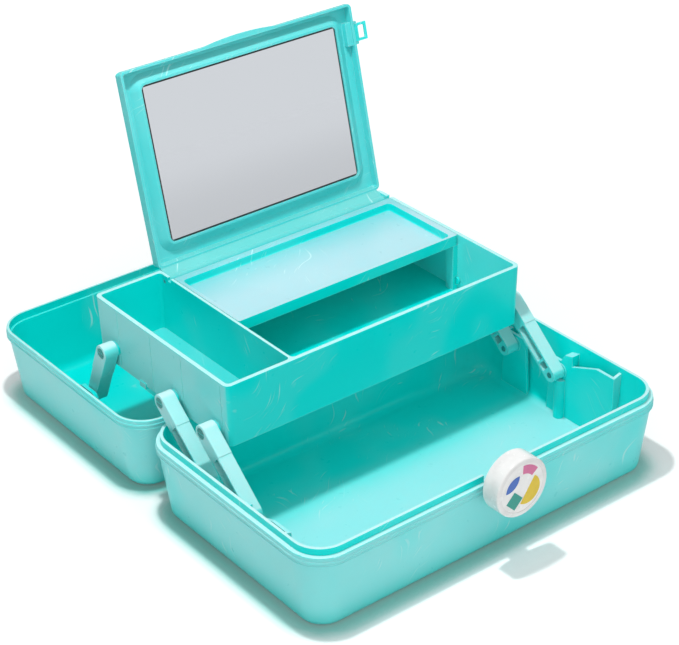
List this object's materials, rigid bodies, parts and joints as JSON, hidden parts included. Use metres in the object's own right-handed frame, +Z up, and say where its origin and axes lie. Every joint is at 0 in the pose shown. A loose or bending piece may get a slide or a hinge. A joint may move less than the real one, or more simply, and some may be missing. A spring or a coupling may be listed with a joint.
{
  "type": "make-up train case",
  "caption": "Hinged plastic make-up case standing open: fold-back lid, tray carried up on swinging arms and links, flip-up mirror cover, round front latch and flat carry handle.",
  "frame": {"origin": "centre of the base half's underside, on the floor", "axes": "+X to the right along the hinge line, +Y from the front latch to the back, +Z up"},
  "size_m": [0.3316, 0.4468, 0.2828],
  "materials": {
    "case_plastic": "sea-green moulded plastic with paler streaks, soft gloss",
    "arm_plastic": "sea-green moulded plastic, soft gloss",
    "pin_steel": "plain drawn steel",
    "mirror_silver": "silvered flat mirror",
    "pad_foam": "adhesive foam sheet",
    "latch_white": "white moulded plastic, glossy",
    "disc_print": "white printed disc under a clear face"
  },
  "bodies": {
    "base": {"base_shell": "case_plastic", "case_hinge_pins": "pin_steel", "base_arm_pins": "pin_steel", "latch_pin": "pin_steel"},
    "lid": {"lid_shell": "case_plastic", "handle_pins": "pin_steel"},
    "handle": {"carry_handle": "case_plastic"},
    "front_arm_left": {"front_arm_left": "arm_plastic"},
    "front_arm_right": {"front_arm_right": "arm_plastic"},
    "rear_arm_left": {"rear_arm_left": "arm_plastic"},
    "rear_arm_right": {"rear_arm_right": "arm_plastic"},
    "tray": {"tray_shell": "case_plastic", "palette_tray": "case_plastic", "tray_snap_pins": "arm_plastic", "cover_hinge_pins": "pin_steel"},
    "link_left": {"lid_link_left": "arm_plastic", "link_foot_pin_left": "pin_steel"},
    "link_right": {"lid_link_right": "arm_plastic", "link_foot_pin_right": "pin_steel"},
    "cover": {"cover_frame": "case_plastic", "mirror_pad": "pad_foam", "mirror_glass": "mirror_silver", "clip_pin": "pin_steel"},
    "clip": {"cover_clip": "case_plastic"},
    "latch": {"latch_cup": "latch_white", "latch_disc": "disc_print"}
  },
  "joints": [
    {"name": "lid_fold", "type": "hinge", "parent": "base", "child": "lid", "pos_m": [0, 0.1076, 0.0642], "axis": [1, 0, 0], "range_deg": [0, 180]},
    {"name": "front_arm_left_swing", "type": "hinge", "parent": "base", "child": "front_arm_left", "pos_m": [-0.14475, -0.0035, 0.0448], "axis": [1, 0, 0], "range_deg": [0, 125.5]},
    {"name": "rear_arm_left_swing", "type": "hinge", "parent": "base", "child": "rear_arm_left", "pos_m": [-0.14475, 0.049, 0.0448], "axis": [1, 0, 0], "range_deg": [0, 125.5]},
    {"name": "front_arm_right_swing", "type": "hinge", "parent": "base", "child": "front_arm_right", "pos_m": [0.14475, -0.0035, 0.0448], "axis": [1, 0, 0], "range_deg": [0, 125.5]},
    {"name": "rear_arm_right_swing", "type": "hinge", "parent": "base", "child": "rear_arm_right", "pos_m": [0.14475, 0.049, 0.0448], "axis": [1, 0, 0], "range_deg": [0, 125.5]},
    {"name": "tray_level", "type": "hinge", "parent": "front_arm_left", "child": "tray", "pos_m": [-0.14475, 0.04653, 0.08753], "axis": [1, 0, 0], "range_deg": [-125.5, 0]},
    {"name": "link_left_swing", "type": "hinge", "parent": "tray", "child": "link_left", "pos_m": [-0.14475, 0.1776, 0.0928], "axis": [1, 0, 0], "range_deg": [0, 226.8]},
    {"name": "link_right_swing", "type": "hinge", "parent": "tray", "child": "link_right", "pos_m": [0.14475, 0.1776, 0.0928], "axis": [1, 0, 0], "range_deg": [0, 226.8]},
    {"name": "cover_fold", "type": "hinge", "parent": "tray", "child": "cover", "pos_m": [0, 0.1936, 0.1226], "axis": [1, 0, 0], "range_deg": [0, 103]},
    {"name": "clip_fold", "type": "hinge", "parent": "cover", "child": "clip", "pos_m": [0.1399, 0.23265, 0.25573], "axis": [0, -0.225, -0.9744], "range_deg": [0, 90]},
    {"name": "latch_swing", "type": "hinge", "parent": "base", "child": "latch", "pos_m": [0, -0.1061, 0.0493], "axis": [1, 0, 0], "range_deg": [-6, 40]},
    {"name": "handle_swing", "type": "hinge", "parent": "lid", "child": "handle", "pos_m": [0, 0.1979, 0.00275], "axis": [-1, 0, 0], "range_deg": [0, 92]}
  ],
  "couplings": [
    {"joint": "front_arm_left_swing", "follows": "lid_fold", "ratio": 0.69722},
    {"joint": "front_arm_right_swing", "follows": "lid_fold", "ratio": 0.69722},
    {"joint": "rear_arm_left_swing", "follows": "lid_fold", "ratio": 0.69722},
    {"joint": "rear_arm_right_swing", "follows": "lid_fold", "ratio": 0.69722},
    {"joint": "tray_level", "follows": "lid_fold", "ratio": -0.69722},
    {"joint": "link_left_swing", "follows": "lid_fold", "ratio": 1.26},
    {"joint": "link_right_swing", "follows": "lid_fold", "ratio": 1.26},
    {"joint": "cover_fold", "follows": "lid_fold", "ratio": 0.57222}
  ]
}
